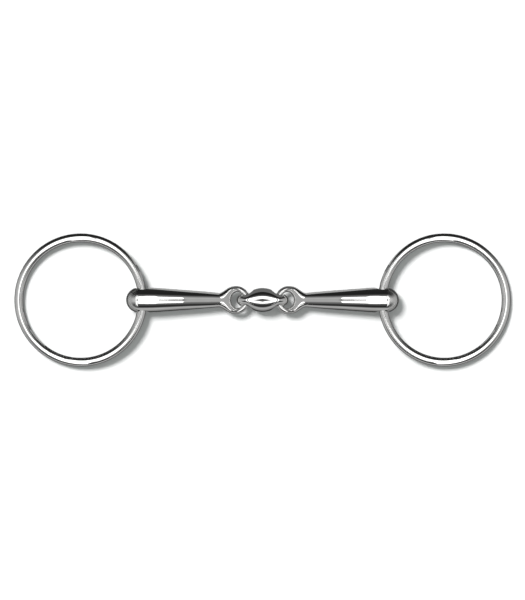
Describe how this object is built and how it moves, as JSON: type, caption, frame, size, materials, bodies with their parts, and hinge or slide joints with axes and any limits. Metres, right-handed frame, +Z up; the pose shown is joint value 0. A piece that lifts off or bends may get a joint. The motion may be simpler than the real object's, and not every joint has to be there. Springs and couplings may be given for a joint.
{
  "type": "snaffle bit",
  "caption": "Loose-ring snaffle bit for a bridle: two folding cannons on an olive centre link, with a swinging ring at each end.",
  "frame": {"origin": "centre of the bounding box's bottom, on the table under the middle of the centre link", "axes": "+X along the mouthpiece to the right; +Y up along the axes of the ring holes; +Z up from the table"},
  "size_m": [0.2798, 0.075, 0.014],
  "materials": {
    "ring_steel": "polished stainless steel, round wire",
    "cannon_steel": "mirror-polished stainless steel",
    "link_steel": "mirror-polished stainless steel"
  },
  "bodies": {
    "centre_link": {"centre_link": "link_steel"},
    "left_cannon": {"cannon_left": "cannon_steel"},
    "right_cannon": {"cannon_right": "cannon_steel"},
    "left_ring": {"ring_left": "ring_steel"},
    "right_ring": {"ring_right": "ring_steel"}
  },
  "joints": [
    {"name": "left_fold", "type": "hinge", "parent": "centre_link", "child": "left_cannon", "pos_m": [-0.0088, 0, 0.007], "axis": [0, 1, 0], "range_deg": [-40, 40]},
    {"name": "right_fold", "type": "hinge", "parent": "centre_link", "child": "right_cannon", "pos_m": [0.0088, 0, 0.007], "axis": [0, 1, 0], "range_deg": [-40, 40]},
    {"name": "left_ring_swing", "type": "hinge", "parent": "left_cannon", "child": "left_ring", "pos_m": [-0.0675, 0, 0.007], "axis": [0, 1, 0], "range_deg": [-85, 90]},
    {"name": "right_ring_swing", "type": "hinge", "parent": "right_cannon", "child": "right_ring", "pos_m": [0.0675, 0, 0.007], "axis": [0, 1, 0], "range_deg": [-90, 85]}
  ]
}
